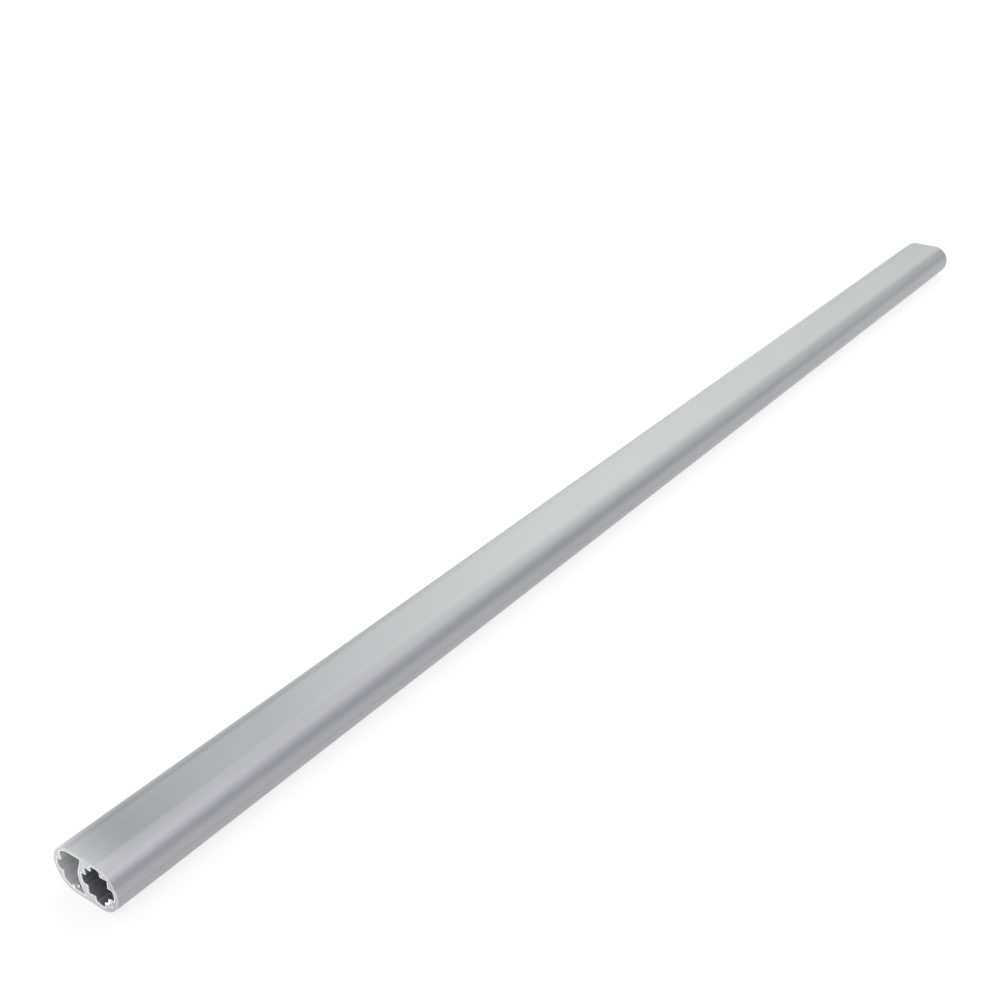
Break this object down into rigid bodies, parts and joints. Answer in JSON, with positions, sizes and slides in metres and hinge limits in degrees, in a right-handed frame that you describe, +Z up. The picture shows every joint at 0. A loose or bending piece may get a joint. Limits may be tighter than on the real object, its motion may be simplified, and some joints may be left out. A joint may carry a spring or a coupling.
{
  "type": "roller blind bottom rail",
  "caption": "Straight hollow aluminium rail with an oval section: a toothed round bore beside a second chamber, both open at the sawn ends.",
  "frame": {"origin": "middle of the flat underside, half way along the rail", "axes": "+X along the rail, +Z up out of the flat upper face, -Y towards the toothed bore"},
  "size_m": [0.65, 0.028, 0.017],
  "materials": {
    "satin_aluminium": "satin anodised, drawn lengthways; bright sawn ends"
  },
  "bodies": {
    "root": {"bottom_rail": "satin_aluminium"}
  },
  "joints": []
}
